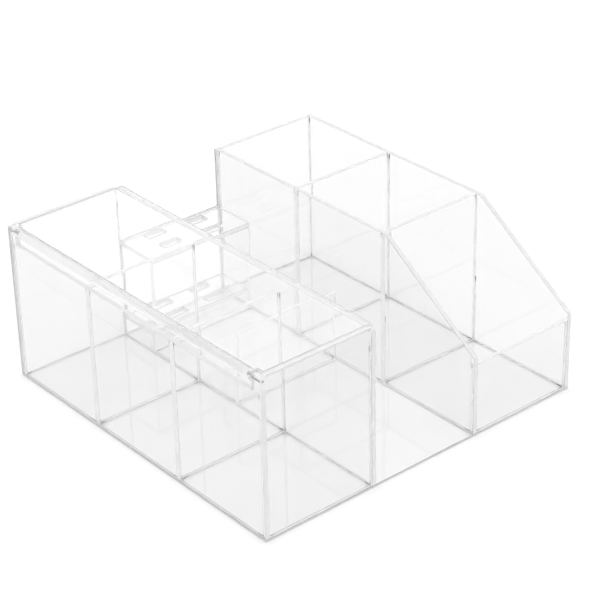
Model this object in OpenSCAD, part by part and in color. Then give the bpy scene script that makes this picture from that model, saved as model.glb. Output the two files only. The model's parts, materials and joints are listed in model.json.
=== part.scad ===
// Clear desk organizer: lidded box, slotted block and sloped tray on one base sheet.
// Origin: centre of the base's underside. +X right, +Y back, +Z up. Millimetres.

/* [Body] */
// Outside width, left to right
body_w = 225; // [210:1:260]
// Outside depth, front to back
body_d = 225; // [210:1:260]
// Height of the end walls, the hinge ears and the tray
body_h = 99; // [96:1:120]
// Thickness of the clear sheet
sheet_t = 3; // [2.5:0.5:4]
// Thickness of the base sheet
base_t = 1.5; // [1:0.5:3]

/* [Lidded box] */
// Height of the box dividers and of the notch floor
divider_h = 88.5; // [80:0.5:89]
// Gap between the lid and each end wall
lid_end_gap = 0.4; // [0.3:0.1:1]
// How far the lid's top stands above the end walls
lid_rise = 0.5; // [0:0.1:1]
// Gap between the lid and the wall it closes on
lid_seat_gap = 0.3; // [0.2:0.1:0.5]
// How far the lid reaches past the inner wall, for a fingertip
lid_overhang = 0.7; // [0:0.1:3]

/* [Hinge] */
// Diameter of the clear rod bonded to the lid
rod_d = 5.4; // [5:0.2:6]
// Diameter of the steel pins
pin_d = 1.5; // [1:0.1:1.6]
// Depth that each pin is pressed into the rod
pin_grip = 3; // [2:0.5:8]
// Radial clearance of a pin in its ear
pin_clearance = 0.05; // [0.01:0.01:0.1]
// Distance of the hinge axis below the top of the ears
axis_drop = 2.6; // [2.4:0.1:3]
// Length of each ear along the wall
ear_l = 7.2; // [6:0.1:10]
// Rounding of the ears' top corners
ear_r = 2.4; // [1:0.1:2.4]
// Gap between an ear and the end of the rod
rod_end_gap = 0.4; // [0.3:0.1:1]

/* [Middle bay] */
// Height of the low cross divider
mid_divider_h = 45; // [30:1:60]
// Distance of the low cross divider's middle from the front
mid_divider_y = 115.5; // [90:0.5:150]
// Height of the slotted block
block_h = 61; // [40:1:80]
// Depth of the slotted block
block_depth = 32; // [30:0.5:45]
// Height of the guide shelf's top face
shelf_h = 14.5; // [8:0.5:25]
// Length of each slot, left to right
slot_l = 13; // [8:0.5:18]
// Width of each slot, front to back
slot_w = 6; // [5:0.5:7]
// Spacing of the slots, left to right
slot_pitch_x = 29.2; // [20:0.2:40]
// Spacing of the slots, front to back
slot_pitch_y = 15.4; // [12:0.2:16]
// Distance of the rear slots' middle from the back
slot_back = 7; // [7:0.1:8]

/* [Sloped tray] */
// Height of the tray's side walls at the front
nose_h = 50; // [30:1:80]
// Height of the tray's front wall
tray_front_h = 46; // [20:1:60]
// Distance from the front to the top of the slope
slope_run = 72; // [30:1:74]

/* [Hidden] */
$fn = 64;

CLEAR = [0.88, 0.91, 0.92, 0.45];
STEEL = [0.55, 0.56, 0.58];

half_w = body_w / 2;
half_d = body_d / 2;
half_t = sheet_t / 2;

// Middle planes of the walls between columns, and of the dividers between rows
col_x = body_w / 6;
row_y = body_d / 6;

// Clear spans of the three columns
left_span = [-half_w + sheet_t, -col_x - half_t];
mid_span = [-col_x + half_t, col_x - half_t];
right_span = [col_x + half_t, half_w - sheet_t];

// Hinge axis, along Y over the middle of the left outer wall
hinge_x = -half_w + half_t;
hinge_z = body_h - axis_drop;
rod_l = body_d - 2 * (ear_l + rod_end_gap);

// Lid
lid_top = body_h + lid_rise;
lid_bottom = lid_top - sheet_t;
lid_y = half_d - sheet_t - lid_end_gap;

// Distance from the hinge axis to the lid's edge, which laps over the rod
lid_root = 1.1;

// Gap that the lid's cut corners keep from the ears as they swing past
ear_swing_gap = 0.5;
ear_swing_r = norm([half_t, axis_drop]) + ear_swing_gap;

// Slotted block
block_y = half_d - block_depth;

// Amount that a cutting shape runs past the face it cuts
cut = 1;

// ---- shared shapes ----

module block(low, high) {
    translate(low) cube(high - low);
}

// Sheet standing across a column, with its middle plane at y
module cross_sheet(span, y, top) {
    block([span[0], y - half_t, base_t], [span[1], y + half_t, top]);
}

// Sheet running front to back, cut to a side profile of [y, z] points
module long_sheet(x) {
    translate([x, 0, 0]) rotate([90, 0, 90]) linear_extrude(sheet_t) children();
}

// Cylinder along Y on the hinge axis
module on_axis(y0, y1, d) {
    translate([hinge_x, y1, hinge_z]) rotate([90, 0, 0]) cylinder(h = y1 - y0, d = d);
}

// The four slots, cut between two heights
module slots(z0, z1) {
    for (side = [-1, 1], row = [0, 1]) {
        x = side * slot_pitch_x / 2;
        y = half_d - slot_back - row * slot_pitch_y;
        block([x - slot_l / 2, y - slot_w / 2, z0], [x + slot_l / 2, y + slot_w / 2, z1]);
    }
}

// Side view of one ear, standing on the notch floor at y = 0
module ear_profile() {
    ear_top = body_h - divider_h;
    square([ear_l, ear_top - ear_r]);
    translate([ear_r, 0]) square([ear_l - 2 * ear_r, ear_top]);
    for (y = [ear_r, ear_l - ear_r]) translate([y, ear_top - ear_r]) circle(r = ear_r);
}

module tray_side_profile() {
    polygon([[-half_d, base_t], [half_d, base_t], [half_d, body_h],
             [-half_d + slope_run, body_h], [-half_d, nose_h]]);
}

// ---- base ----

module base_plate() color(CLEAR)
    block([-half_w, -half_d, 0], [half_w, half_d, base_t]);

// ---- lidded box ----

module left_outer_wall() color(CLEAR) difference() {
    long_sheet(-half_w) {
        translate([-half_d, base_t]) square([body_d, divider_h - base_t]);
        translate([-half_d, divider_h]) ear_profile();
        translate([half_d - ear_l, divider_h]) ear_profile();
    }
    on_axis(-half_d - cut, -half_d + ear_l + cut, pin_d + 2 * pin_clearance);
    on_axis(half_d - ear_l - cut, half_d + cut, pin_d + 2 * pin_clearance);
}

module left_inner_wall() color(CLEAR)
    block([-col_x - half_t, -half_d, base_t], [-col_x + half_t, half_d, lid_bottom - lid_seat_gap]);

module left_front_wall() color(CLEAR) cross_sheet(left_span, -half_d + half_t, body_h);

module left_back_wall() color(CLEAR) cross_sheet(left_span, half_d - half_t, body_h);

module left_divider_front() color(CLEAR) cross_sheet(left_span, -row_y, divider_h);

module left_divider_rear() color(CLEAR) cross_sheet(left_span, row_y, divider_h);

// The lid's edge is cut hollow to seat on the rod, and its corners clear the ears as it swings
module lid_panel() color(CLEAR) difference() {
    union() {
        block([hinge_x + lid_root, -rod_l / 2, lid_bottom], [-col_x, rod_l / 2, lid_top]);
        block([hinge_x + ear_swing_r, -lid_y, lid_bottom],
              [-col_x + half_t + lid_overhang, lid_y, lid_top]);
    }
    on_axis(-half_d, half_d, rod_d);
}

module hinge_rod() color(CLEAR) difference() {
    on_axis(-rod_l / 2, rod_l / 2, rod_d);
    on_axis(-rod_l / 2 - cut, -rod_l / 2 + pin_grip, pin_d);
    on_axis(rod_l / 2 - pin_grip, rod_l / 2 + cut, pin_d);
}

module hinge_pin_front() color(STEEL) on_axis(-half_d, -rod_l / 2 + pin_grip, pin_d);

module hinge_pin_rear() color(STEEL) on_axis(rod_l / 2 - pin_grip, half_d, pin_d);

// ---- middle bay ----

module block_top_plate() color(CLEAR) difference() {
    block([mid_span[0], block_y, block_h - sheet_t], [mid_span[1], half_d, block_h]);
    slots(block_h - sheet_t - cut, block_h + cut);
}

module block_guide_shelf() color(CLEAR) difference() {
    block([mid_span[0], block_y + sheet_t, shelf_h - sheet_t], [mid_span[1], half_d - sheet_t, shelf_h]);
    slots(shelf_h - sheet_t - cut, shelf_h + cut);
}

module block_front_panel() color(CLEAR) cross_sheet(mid_span, block_y + half_t, block_h - sheet_t);

module block_back_panel() color(CLEAR) cross_sheet(mid_span, half_d - half_t, block_h - sheet_t);

module mid_divider() color(CLEAR) cross_sheet(mid_span, -half_d + mid_divider_y, mid_divider_h);

// ---- sloped tray ----

module right_inner_wall() color(CLEAR) long_sheet(col_x - half_t) tray_side_profile();

module right_outer_wall() color(CLEAR) long_sheet(half_w - sheet_t) tray_side_profile();

module right_front_wall() color(CLEAR) cross_sheet(right_span, -half_d + half_t, tray_front_h);

module right_back_wall() color(CLEAR) cross_sheet(right_span, half_d - half_t, body_h);

module right_divider_front() color(CLEAR) cross_sheet(right_span, -row_y, body_h);

module right_divider_rear() color(CLEAR) cross_sheet(right_span, row_y, body_h);

base_plate();
left_outer_wall();
left_inner_wall();
left_front_wall();
left_back_wall();
left_divider_front();
left_divider_rear();
lid_panel();
hinge_rod();
hinge_pin_front();
hinge_pin_rear();
block_top_plate();
block_guide_shelf();
block_front_panel();
block_back_panel();
mid_divider();
right_inner_wall();
right_outer_wall();
right_front_wall();
right_back_wall();
right_divider_front();
right_divider_rear();
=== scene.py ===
import json
import math

import bmesh
import bpy
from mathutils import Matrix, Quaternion, Vector, noise


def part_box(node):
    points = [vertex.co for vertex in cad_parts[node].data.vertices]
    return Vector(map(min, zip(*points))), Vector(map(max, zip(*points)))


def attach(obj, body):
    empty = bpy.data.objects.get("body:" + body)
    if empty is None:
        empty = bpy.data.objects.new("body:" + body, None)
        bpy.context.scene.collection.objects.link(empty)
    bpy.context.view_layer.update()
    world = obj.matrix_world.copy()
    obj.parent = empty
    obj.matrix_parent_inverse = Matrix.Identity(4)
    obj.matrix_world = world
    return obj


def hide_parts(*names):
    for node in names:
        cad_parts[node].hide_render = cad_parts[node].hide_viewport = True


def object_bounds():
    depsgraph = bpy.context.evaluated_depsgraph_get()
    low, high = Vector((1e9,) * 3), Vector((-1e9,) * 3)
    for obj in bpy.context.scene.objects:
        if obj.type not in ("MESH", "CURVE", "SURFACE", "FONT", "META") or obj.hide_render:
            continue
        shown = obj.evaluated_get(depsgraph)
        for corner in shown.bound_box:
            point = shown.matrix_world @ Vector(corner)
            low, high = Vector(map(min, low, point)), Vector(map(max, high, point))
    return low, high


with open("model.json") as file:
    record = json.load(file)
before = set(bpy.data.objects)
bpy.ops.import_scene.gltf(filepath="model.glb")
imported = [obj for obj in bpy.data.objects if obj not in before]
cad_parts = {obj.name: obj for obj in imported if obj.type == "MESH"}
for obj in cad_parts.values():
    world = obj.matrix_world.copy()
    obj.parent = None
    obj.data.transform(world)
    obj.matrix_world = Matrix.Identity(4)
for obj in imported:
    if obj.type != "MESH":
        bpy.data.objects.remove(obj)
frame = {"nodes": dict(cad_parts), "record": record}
cad_low, cad_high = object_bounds()

MM = 0.001

# ---- camera, set first because everything else is judged through it ----

CAMERA_AZIMUTH = math.radians(-39.674)
CAMERA_ELEVATION = math.radians(29.160)
CAMERA_ROLL = math.radians(-1.366)
CAMERA_DISTANCE = 1.130
CAMERA_TARGET = Vector((-0.0180, -0.0306, 0.0737))
CAMERA_LENS = 123.47
SENSOR_WIDTH = 36.0


def direction(azimuth, elevation):
    """Unit vector from the object towards a camera or light at that azimuth and elevation."""
    return Vector((
        math.sin(azimuth) * math.cos(elevation),
        -math.cos(azimuth) * math.cos(elevation),
        math.sin(elevation),
    ))


def make_camera():
    data = bpy.data.cameras.new("camera")
    data.lens = CAMERA_LENS
    data.sensor_width = SENSOR_WIDTH
    data.clip_start = 0.01
    data.clip_end = 100.0
    camera = bpy.data.objects.new("camera", data)
    bpy.context.scene.collection.objects.link(camera)
    back = direction(CAMERA_AZIMUTH, CAMERA_ELEVATION)
    camera.location = CAMERA_TARGET + back * CAMERA_DISTANCE
    camera.rotation_mode = "QUATERNION"
    level = (-back).to_track_quat("-Z", "Y")
    camera.rotation_quaternion = level @ Quaternion((0, 0, 1), CAMERA_ROLL)
    bpy.context.scene.camera = camera


make_camera()

# ---- light and floor ----

WORLD_TOP = 1.25
WORLD_HORIZON = 0.95
# Height on the dome, from 0 to 1, at which the light reaches its full strength
WORLD_FULL_AT = 0.6
FLOOR_SIZE = 6.0
FLOOR_TILES = 8
FLOOR_DROP = 0.05 * MM
FLOOR_ROUGHNESS = 0.9
# Distances from the object's middle between which the floor brightens. The greyer floor near the object
# is a painted shadow round it
FLOOR_NEAR = 0.15
FLOOR_FAR = 0.60
FLOOR_NEAR_GREY = 0.87
FLOOR_FAR_GREY = 0.89


def grey(level):
    return (level, level, level, 1)


def make_world():
    """A big soft dome, brightest overhead and greyer towards the horizon."""
    world = bpy.data.worlds.new("studio")
    bpy.context.scene.world = world
    world.use_nodes = True
    nodes = world.node_tree.nodes
    links = world.node_tree.links
    nodes.clear()
    place = nodes.new("ShaderNodeTexCoord")
    split = nodes.new("ShaderNodeSeparateXYZ")
    ramp = nodes.new("ShaderNodeValToRGB")
    ramp.color_ramp.interpolation = "EASE"
    horizon, top = ramp.color_ramp.elements
    horizon.position = 0.0
    horizon.color = grey(WORLD_HORIZON)
    top.position = WORLD_FULL_AT
    top.color = grey(WORLD_TOP)
    background = nodes.new("ShaderNodeBackground")
    output = nodes.new("ShaderNodeOutputWorld")
    links.new(place.outputs["Generated"], split.inputs[0])
    links.new(split.outputs["Z"], ramp.inputs["Fac"])
    links.new(ramp.outputs["Color"], background.inputs["Color"])
    links.new(background.outputs[0], output.inputs["Surface"])


def floor_material():
    """Matt white, with a painted shadow: a little darker near the object and brighter away from it."""
    material = bpy.data.materials.new("floor_white")
    material.use_nodes = True
    nodes = material.node_tree.nodes
    links = material.node_tree.links
    place = nodes.new("ShaderNodeTexCoord")
    reach = nodes.new("ShaderNodeVectorMath")
    reach.operation = "LENGTH"
    painted_shadow = nodes.new("ShaderNodeMapRange")
    painted_shadow.interpolation_type = "SMOOTHSTEP"
    painted_shadow.inputs["From Min"].default_value = FLOOR_NEAR
    painted_shadow.inputs["From Max"].default_value = FLOOR_FAR
    painted_shadow.inputs["To Min"].default_value = FLOOR_NEAR_GREY
    painted_shadow.inputs["To Max"].default_value = FLOOR_FAR_GREY
    shader = nodes["Principled BSDF"]
    shader.inputs["Roughness"].default_value = FLOOR_ROUGHNESS
    shader.inputs["Specular IOR Level"].default_value = 0.0
    links.new(place.outputs["Object"], reach.inputs[0])
    links.new(reach.outputs["Value"], painted_shadow.inputs["Value"])
    links.new(painted_shadow.outputs["Result"], shader.inputs["Base Color"])
    return material


def make_floor():
    mesh = bpy.data.meshes.new("floor")
    shape = bmesh.new()
    bmesh.ops.create_grid(shape, x_segments=FLOOR_TILES, y_segments=FLOOR_TILES, size=FLOOR_SIZE / 2)
    shape.to_mesh(mesh)
    shape.free()
    floor = bpy.data.objects.new("floor", mesh)
    bpy.context.scene.collection.objects.link(floor)
    floor.location.z = cad_low.z - FLOOR_DROP
    mesh.materials.append(floor_material())


make_world()
make_floor()

bpy.context.scene.view_settings.view_transform = "Standard"
# Light crosses many faces of clear sheet, so its paths are long and are never blurred
cycles = bpy.context.scene.cycles
cycles.max_bounces = 128
cycles.transmission_bounces = 128
cycles.glossy_bounces = 64
cycles.transparent_max_bounces = 64
cycles.blur_glossy = 0.0
cycles.use_denoising = True

# ---- materials ----

ACRYLIC_IOR = 1.49
# Light left after a path of d metres inside the sheet is exp(-ABSORPTION * (1 - level) * d)
ABSORPTION = 5.0
ABSORPTION_LEVEL = 0.86

# Polished faces. Their grey tints are painted shade, darkest on the base and on the outer walls: they
# darken each sheet, and the floor seen through it, in place of the shade the block casts on itself and on
# the floor under it
OUTER_SHADE_TINT = 0.950
INNER_SHADE_TINT = 0.996
BASE_SHADE_TINT = 0.948
SMUDGE = 0.99
FACE_ROUGHNESS = (0.0, 0.035)

# Cut edges in the open
CUT_LIGHT = 0.93
CUT_DARK = 0.84
CUT_TRANSMISSION = 0.35
CUT_ROUGHNESS = (0.28, 0.50)

# Cemented edges, where a hazy film of dried solvent joins two sheets
FILM_TINT = 0.985
FILM_TRANSMISSION = 0.60
FILM_ROUGHNESS = 0.35

# Tint and roughness of the rod, the pins and the cement, where the feature is absent and where it is full
ROD_TINT = (0.86, 0.93)
ROD_ROUGHNESS = (0.0, 0.02)
STEEL_TINT = (0.36, 0.58)
STEEL_ROUGHNESS = (0.22, 0.42)
CEMENT_TINT = (1.0, 0.96)
CEMENT_ROUGHNESS = (0.02, 0.16)

# Feature sizes, as texture scales per metre
SMUDGE_SCALE = 28
WAVE_SCALE = 14
SAW_MARK_SCALE = 1900
PATCH_SCALE = 260
DRAW_LINE_SCALE = 2400
RING_SCALE = 6000
FLOW_SCALE = 420
BUBBLE_SCALE = 1500

# Noise levels between which each feature goes from absent to full
SMUDGE_BAND = (0.45, 0.75)
SAW_MARK_BAND = (0.25, 0.75)
SAW_ROUGH_BAND = (0.20, 0.80)
PATCH_BAND = (0.20, 0.70)
DRAW_LINE_BAND = (0.30, 0.70)
DRAW_ROUGH_BAND = (0.30, 0.80)
RING_BAND = (0.30, 0.70)
RING_ROUGH_BAND = (0.20, 0.80)
FLOW_BAND = (0.30, 0.80)
BUBBLE_BAND = (0.62, 0.70)

# How much a feature is drawn out: its texture scale the long way over its scale the short way
SAW_MARK_DRAW = 0.06
DRAW_LINE_DRAW = 0.01
RING_DRAW = 0.05

# Heights of the surface relief
SHEET_RELIEF = 0.02 * MM
ROD_RELIEF = 0.002 * MM
STEEL_RELIEF = 0.004 * MM
CEMENT_RELIEF = 0.05 * MM
# A face's slow wave stands this many times as high as the saw marks on its edges
WAVE_HEIGHT = 4.0

# Below this share of a normal along the thin axis, a surface is a cut edge and not a face
CUT_BELOW = 0.25
# Cut edges whose outward normal rises above this are in the open, and lower ones are cemented.
# Front-to-back sheets stand on the base, and cross sheets are cemented at both ends as well.
OPEN_ABOVE = {"X": -0.5, "Y": 0.5, "Z": -1.5}
# Depth from the end of the block's level plates that counts as the glued end
GLUED_DEPTH = 0.5 * MM


class Graph:
    """Short names for the few kinds of node that the materials are made of."""

    def __init__(self, material):
        material.use_nodes = True
        self.nodes = material.node_tree.nodes
        self.links = material.node_tree.links
        self.shader = self.nodes["Principled BSDF"]
        self.output = self.nodes["Material Output"]
        self.place = self.nodes.new("ShaderNodeTexCoord")

    def feed(self, socket, value):
        if hasattr(value, "links"):
            self.links.new(value, socket)
        else:
            socket.default_value = value

    def stretched(self, scale):
        """Object coordinates, multiplied by scale on each axis."""
        node = self.nodes.new("ShaderNodeMapping")
        self.feed(node.inputs["Vector"], self.place.outputs["Object"])
        node.inputs["Scale"].default_value = scale
        return node.outputs[0]

    def noise(self, vector, scale, detail=2.0, roughness=0.5):
        node = self.nodes.new("ShaderNodeTexNoise")
        self.feed(node.inputs["Vector"], vector)
        node.inputs["Scale"].default_value = scale
        node.inputs["Detail"].default_value = detail
        node.inputs["Roughness"].default_value = roughness
        return node.outputs["Fac"]

    def remap(self, value, low, high, to_low=0.0, to_high=1.0):
        node = self.nodes.new("ShaderNodeMapRange")
        node.interpolation_type = "SMOOTHSTEP"
        self.feed(node.inputs["Value"], value)
        self.feed(node.inputs["From Min"], low)
        self.feed(node.inputs["From Max"], high)
        self.feed(node.inputs["To Min"], to_low)
        self.feed(node.inputs["To Max"], to_high)
        return node.outputs["Result"]

    def maths(self, operation, a, b=0.0):
        node = self.nodes.new("ShaderNodeMath")
        node.operation = operation
        self.feed(node.inputs[0], a)
        self.feed(node.inputs[1], b)
        return node.outputs[0]

    def blend(self, share, a, b):
        """Colour a where share is 0 and b where it is 1."""
        node = self.nodes.new("ShaderNodeMix")
        node.data_type = "RGBA"
        self.feed(node.inputs[0], share)
        self.feed(node.inputs[6], a)
        self.feed(node.inputs[7], b)
        return node.outputs[2]

    def mean(self, share, a, b):
        """Number a where share is 0 and b where it is 1."""
        node = self.nodes.new("ShaderNodeMix")
        self.feed(node.inputs[0], share)
        self.feed(node.inputs[2], a)
        self.feed(node.inputs[3], b)
        return node.outputs[0]

    def bump(self, height, distance):
        node = self.nodes.new("ShaderNodeBump")
        self.feed(node.inputs["Height"], height)
        node.inputs["Distance"].default_value = distance
        node.inputs["Strength"].default_value = 1.0
        return node.outputs[0]


def clear_material(name, thin_axis, tint, glued_beyond=None):
    """Clear cast acrylic sheet, polished on its faces and matt on its cut edges.

    Its faces lie across thin_axis. A cut edge further than glued_beyond to the left or right is glued.
    """
    material = bpy.data.materials.new(name)
    graph = Graph(material)
    axis = "XYZ".index(thin_axis)

    facing = graph.nodes.new("ShaderNodeSeparateXYZ")
    graph.feed(facing.inputs[0], graph.place.outputs["Normal"])
    is_cut = graph.maths("LESS_THAN", graph.maths("ABSOLUTE", facing.outputs[axis]), CUT_BELOW)
    is_open = graph.maths("GREATER_THAN", facing.outputs["Z"], OPEN_ABOVE[thin_axis])
    in_open = graph.maths("MULTIPLY", is_cut, is_open)
    if glued_beyond:
        spot = graph.nodes.new("ShaderNodeSeparateXYZ")
        graph.feed(spot.inputs[0], graph.place.outputs["Object"])
        reach = graph.maths("ABSOLUTE", spot.outputs["X"])
        short_of_end = graph.maths("LESS_THAN", reach, glued_beyond)
        in_open = graph.maths("MULTIPLY", in_open, short_of_end)

    even = graph.stretched((1, 1, 1))
    smudge = graph.remap(graph.noise(even, SMUDGE_SCALE, detail=3.0), *SMUDGE_BAND)
    wave = graph.noise(even, WAVE_SCALE, detail=1.0)
    along_edge = [1.0, 1.0, 1.0]
    along_edge[axis] = SAW_MARK_DRAW
    saw_mark = graph.noise(graph.stretched(along_edge), SAW_MARK_SCALE, roughness=0.6)
    patch = graph.noise(even, PATCH_SCALE)

    # The face colour is the sheet's grey tint, which is painted shade, darkened a little more by smudges
    face_colour = graph.blend(smudge, grey(tint), grey(tint * SMUDGE))
    light_mark = graph.remap(saw_mark, *SAW_MARK_BAND)
    light_patch = graph.remap(patch, *PATCH_BAND)
    light = graph.maths("MULTIPLY", light_mark, light_patch)
    cut_colour = graph.blend(light, grey(CUT_DARK), grey(CUT_LIGHT))
    closed_colour = graph.blend(is_cut, face_colour, grey(FILM_TINT))
    graph.feed(graph.shader.inputs["Base Color"], graph.blend(in_open, closed_colour, cut_colour))
    closed_clear = graph.mean(is_cut, 1.0, FILM_TRANSMISSION)
    graph.feed(
        graph.shader.inputs["Transmission Weight"],
        graph.mean(in_open, closed_clear, CUT_TRANSMISSION),
    )
    face_rough = graph.remap(smudge, 0.0, 1.0, *FACE_ROUGHNESS)
    cut_rough = graph.remap(saw_mark, *SAW_ROUGH_BAND, *CUT_ROUGHNESS)
    closed_rough = graph.mean(is_cut, face_rough, FILM_ROUGHNESS)
    graph.feed(graph.shader.inputs["Roughness"], graph.mean(in_open, closed_rough, cut_rough))
    height = graph.mean(is_cut, graph.maths("MULTIPLY", wave, WAVE_HEIGHT), saw_mark)
    graph.feed(graph.shader.inputs["Normal"], graph.bump(height, SHEET_RELIEF))
    graph.shader.inputs["IOR"].default_value = ACRYLIC_IOR

    absorb = graph.nodes.new("ShaderNodeVolumeAbsorption")
    absorb.inputs["Color"].default_value = grey(ABSORPTION_LEVEL)
    absorb.inputs["Density"].default_value = ABSORPTION
    graph.links.new(absorb.outputs[0], graph.output.inputs["Volume"])
    return material


OUTER = {axis: clear_material(f"clear_outer_{axis}", axis, OUTER_SHADE_TINT) for axis in "XY"}
INNER = {axis: clear_material(f"clear_inner_{axis}", axis, INNER_SHADE_TINT) for axis in "XYZ"}
BASE = clear_material("clear_base", "Z", BASE_SHADE_TINT)
# The block's level plates are glued to the walls at both ends
PLATE_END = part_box("block_top_plate")[1].x - GLUED_DEPTH
PLATE = clear_material("clear_plate", "Z", INNER_SHADE_TINT, glued_beyond=PLATE_END)
PLATES = {"block_top_plate", "block_guide_shelf"}
OUTER_SHEETS = {
    "left_outer_wall", "left_front_wall", "left_back_wall",
    "right_inner_wall", "right_outer_wall", "right_front_wall", "right_back_wall",
}


def rod_material():
    """Extruded clear rod, with the faint lengthwise draw lines of its die."""
    material = bpy.data.materials.new("clear_rod")
    graph = Graph(material)
    lengthwise = graph.stretched((1.0, DRAW_LINE_DRAW, 1.0))
    draw_line = graph.noise(lengthwise, DRAW_LINE_SCALE, roughness=0.6)
    tint = graph.blend(graph.remap(draw_line, *DRAW_LINE_BAND), *map(grey, ROD_TINT))
    graph.feed(graph.shader.inputs["Base Color"], tint)
    rough = graph.remap(draw_line, *DRAW_ROUGH_BAND, *ROD_ROUGHNESS)
    graph.feed(graph.shader.inputs["Roughness"], rough)
    graph.feed(graph.shader.inputs["Normal"], graph.bump(draw_line, ROD_RELIEF))
    graph.shader.inputs["Transmission Weight"].default_value = 1.0
    graph.shader.inputs["IOR"].default_value = ACRYLIC_IOR
    return material


def steel_material():
    """Ground steel dowel, with fine rings round it."""
    material = bpy.data.materials.new("pin_steel")
    graph = Graph(material)
    crosswise = graph.stretched((RING_DRAW, 1.0, RING_DRAW))
    ring = graph.noise(crosswise, RING_SCALE, detail=3.0, roughness=0.6)
    tint = graph.blend(graph.remap(ring, *RING_BAND), *map(grey, STEEL_TINT))
    graph.feed(graph.shader.inputs["Base Color"], tint)
    rough = graph.remap(ring, *RING_ROUGH_BAND, *STEEL_ROUGHNESS)
    graph.feed(graph.shader.inputs["Roughness"], rough)
    graph.feed(graph.shader.inputs["Normal"], graph.bump(ring, STEEL_RELIEF))
    graph.shader.inputs["Metallic"].default_value = 1.0
    return material


def cement_material():
    """Solvent cement that has dried in a corner: clear, a little uneven, with fine bubbles."""
    material = bpy.data.materials.new("dried_cement")
    graph = Graph(material)
    even = graph.stretched((1, 1, 1))
    flow = graph.noise(even, FLOW_SCALE, detail=3.0)
    bubble = graph.remap(graph.noise(even, BUBBLE_SCALE, detail=1.0), *BUBBLE_BAND)
    tint = graph.blend(bubble, *map(grey, CEMENT_TINT))
    graph.feed(graph.shader.inputs["Base Color"], tint)
    rough = graph.remap(flow, *FLOW_BAND, *CEMENT_ROUGHNESS)
    graph.feed(graph.shader.inputs["Roughness"], rough)
    graph.feed(graph.shader.inputs["Normal"], graph.bump(flow, CEMENT_RELIEF))
    graph.shader.inputs["Transmission Weight"].default_value = 1.0
    graph.shader.inputs["IOR"].default_value = ACRYLIC_IOR
    return material


ROD = rod_material()
CEMENT = cement_material()
STEEL = steel_material()

# ---- pieces ----

# Corners of the CAD mesh closer than this are one corner
WELD = 0.001 * MM
# Faces that meet at less than this lie in one plane
FLAT_ANGLE = math.radians(0.5)
# Two normals with a higher product than this belong to the same side of a piece
SAME_SIDE = 0.9
JOINT_GAP = 0.02 * MM
ARRIS = 0.20 * MM
ARRIS_SEGMENTS = 2
# Edges with a sharper turn than this get an arris
ARRIS_ANGLE = math.radians(30)
# On round stock, edges with a smaller turn than this are shaded smooth
SMOOTH_ANGLE = math.radians(20)
ROUND_STOCK = {"hinge_rod", "hinge_pin_front", "hinge_pin_rear"}


def bare_copy(node):
    """A bmesh of a CAD node's shape alone, with flat faces made whole."""
    source = frame["nodes"][node].data
    shape = bmesh.new()
    corners = [shape.verts.new(v.co) for v in source.vertices]
    for face in source.polygons:
        shape.faces.new([corners[i] for i in face.vertices])
    bmesh.ops.remove_doubles(shape, verts=shape.verts, dist=WELD)
    bmesh.ops.dissolve_limit(
        shape, angle_limit=FLAT_ANGLE, verts=shape.verts, edges=shape.edges
    )
    bmesh.ops.recalc_face_normals(shape, faces=shape.faces)
    return shape


def draw_in(shape, gap):
    """Moves every face inwards by gap, so that pieces that touch are a hair apart."""
    moves = []
    for corner in shape.verts:
        normals = []
        for face in corner.link_faces:
            if all(face.normal.dot(n) < SAME_SIDE for n in normals):
                normals.append(face.normal.copy())
        moves.append(sum(normals, Vector()) * -gap)
    for corner, move in zip(shape.verts, moves):
        corner.co += move


def thin_axis_of(node):
    low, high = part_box(node)
    size = high - low
    return "XYZ"[min(range(3), key=lambda i: size[i])]


def finish_of(node):
    if node in ROUND_STOCK:
        return ROD if node == "hinge_rod" else STEEL
    if node == "base_plate":
        return BASE
    if node in PLATES:
        return PLATE
    return (OUTER if node in OUTER_SHEETS else INNER)[thin_axis_of(node)]


def cemented(node, face, thin_axis):
    """True for a cut edge that is glued to another sheet."""
    if node in PLATES and abs(face.calc_center_median().x) > PLATE_END:
        return True
    along_thin = abs(face.normal["XYZ".index(thin_axis)])
    return along_thin < CUT_BELOW and face.normal.z < OPEN_ABOVE[thin_axis]


def keeps_sharp(node, face, thin_axis):
    """True for a face whose edges aren't rounded: cemented, or the base's underside."""
    if node in ROUND_STOCK:
        return False
    underside = node == "base_plate" and face.normal.z < -0.5
    return underside or cemented(node, face, thin_axis)


def finished(node, body):
    """The CAD node's piece with fine rounded arrises, standing for it."""
    shape = bare_copy(node)
    draw_in(shape, JOINT_GAP)
    thin_axis = thin_axis_of(node)
    sharp = [
        edge for edge in shape.edges
        if edge.is_manifold
        and edge.calc_face_angle() > ARRIS_ANGLE
        and not any(keeps_sharp(node, face, thin_axis) for face in edge.link_faces)
    ]
    bmesh.ops.bevel(
        shape, geom=sharp, offset=ARRIS, segments=ARRIS_SEGMENTS, profile=0.5,
        affect="EDGES", clamp_overlap=True,
    )
    mesh = bpy.data.meshes.new(node + "_finished")
    shape.to_mesh(mesh)
    shape.free()
    if node in ROUND_STOCK:
        mesh.polygons.foreach_set("use_smooth", [True] * len(mesh.polygons))
        mesh.set_sharp_from_angle(angle=SMOOTH_ANGLE)
    mesh.materials.append(finish_of(node))
    piece = bpy.data.objects.new(node + "_finished", mesh)
    bpy.context.scene.collection.objects.link(piece)
    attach(piece, body)
    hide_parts(node)


for body, members in frame["record"]["behaviour"]["bodies"].items():
    for node in members:
        finished(node, body)

# ---- cement beads in the inside corners ----

BEAD_LEG = 0.40 * MM
BEAD_GAP = 0.04 * MM
# Two beads that run towards one corner both stop this far short of it
BEAD_CLEAR = BEAD_LEG * 1.6
BEAD_STEP = 4 * MM
BEAD_ARC = 4
# A bead swells and thins by this share of its size, in waves of this scale per metre
BEAD_UNEVEN = 0.35
BEAD_WAVE = 90.0

X = Vector((1, 0, 0))
Y = Vector((0, 1, 0))
Z = Vector((0, 0, 1))


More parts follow.
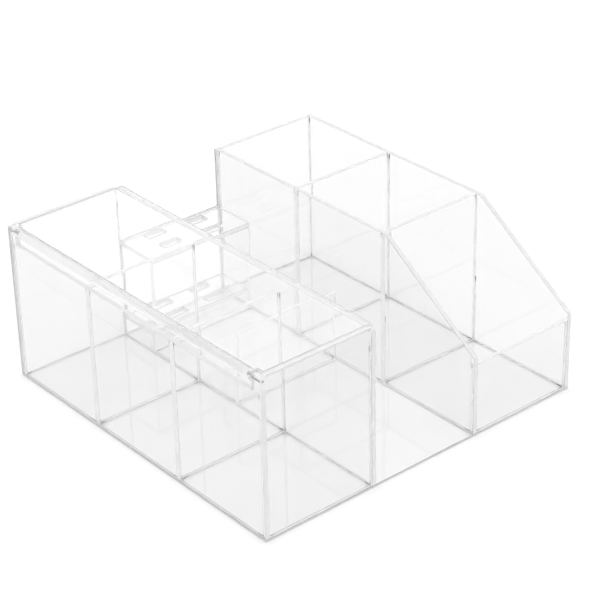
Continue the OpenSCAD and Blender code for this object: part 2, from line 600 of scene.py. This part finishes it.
def bead_ring(shape, corner, side_a, side_b):
    """One cross-section of a bead: the corner, then a hollow arc from side_a round to side_b."""
    swell = 1 + BEAD_UNEVEN * noise.noise(corner * BEAD_WAVE)
    leg = BEAD_LEG * swell
    origin = corner + (side_a + side_b) * BEAD_GAP
    ring = [shape.verts.new(origin)]
    for i in range(BEAD_ARC + 1):
        turn = math.pi / 2 * i / BEAD_ARC
        hollow = side_a * (1 - math.sin(turn)) + side_b * (1 - math.cos(turn))
        ring.append(shape.verts.new(origin + hollow * leg))
    return ring


def add_bead(shape, start, end, side_a, side_b):
    """A bead along the corner from start to end, lying against the two sheets that meet there."""
    steps = max(2, round((end - start).length / BEAD_STEP))
    rings = [
        bead_ring(shape, start.lerp(end, i / steps), side_a, side_b) for i in range(steps + 1)
    ]
    count = len(rings[0])
    for ring, following in zip(rings, rings[1:]):
        for i in range(count):
            j = (i + 1) % count
            shape.faces.new((ring[i], ring[j], following[j], following[i]))
    shape.faces.new(rings[0])
    shape.faces.new(rings[-1][::-1])


def beads(name, low, high, corners=True):
    """Beads round the foot of a cell and, if asked, up its corners."""
    shape = bmesh.new()
    front_left = Vector((low.x, low.y, low.z))
    front_right = Vector((high.x, low.y, low.z))
    back_left = Vector((low.x, high.y, low.z))
    back_right = Vector((high.x, high.y, low.z))
    feet = (
        (front_left, back_left, X),
        (front_right, back_right, -X),
        (front_left, front_right, Y),
        (back_left, back_right, -Y),
    )
    for start, end, inward in feet:
        along = (end - start).normalized() * BEAD_CLEAR
        add_bead(shape, start + along, end - along, inward, Z)
    if corners:
        for x, side_x in ((low.x, X), (high.x, -X)):
            for y, side_y in ((low.y, Y), (high.y, -Y)):
                foot = Vector((x, y, low.z + BEAD_CLEAR))
                head = Vector((x, y, high.z - BEAD_CLEAR))
                add_bead(shape, foot, head, side_x, side_y)
    bmesh.ops.recalc_face_normals(shape, faces=shape.faces)
    mesh = bpy.data.meshes.new(name)
    shape.to_mesh(mesh)
    shape.free()
    mesh.polygons.foreach_set("use_smooth", [True] * len(mesh.polygons))
    mesh.materials.append(CEMENT)
    piece = bpy.data.objects.new(name, mesh)
    bpy.context.scene.collection.objects.link(piece)
    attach(piece, "organizer")


def between(left, right, front, back, top):
    """Low and high corners of the space between four sheets, as high as the sheet named top."""
    low = Vector((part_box(left)[1].x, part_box(front)[1].y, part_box("base_plate")[1].z))
    high = Vector((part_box(right)[0].x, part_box(back)[0].y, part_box(top)[1].z))
    return low, high


def top_of(node):
    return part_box(node)[1].z


SIDE_WALLS = {
    "left": ("left_outer_wall", "left_inner_wall"),
    "right": ("right_inner_wall", "right_outer_wall"),
}
CROSS_SHEETS = ("front_wall", "divider_front", "divider_rear", "back_wall")
ROWS = ("front", "middle", "rear")
for side, walls in SIDE_WALLS.items():
    cross = [f"{side}_{sheet}" for sheet in CROSS_SHEETS]
    for row, front, back in zip(ROWS, cross, cross[1:]):
        lowest = min(front, back, key=top_of)
        beads(f"{side}_{row}_cement", *between(*walls, front, back, lowest))

gap = between("left_inner_wall", "right_inner_wall", "mid_divider", "block_front_panel", "mid_divider")
beads("centre_gap_cement", *gap, corners=False)
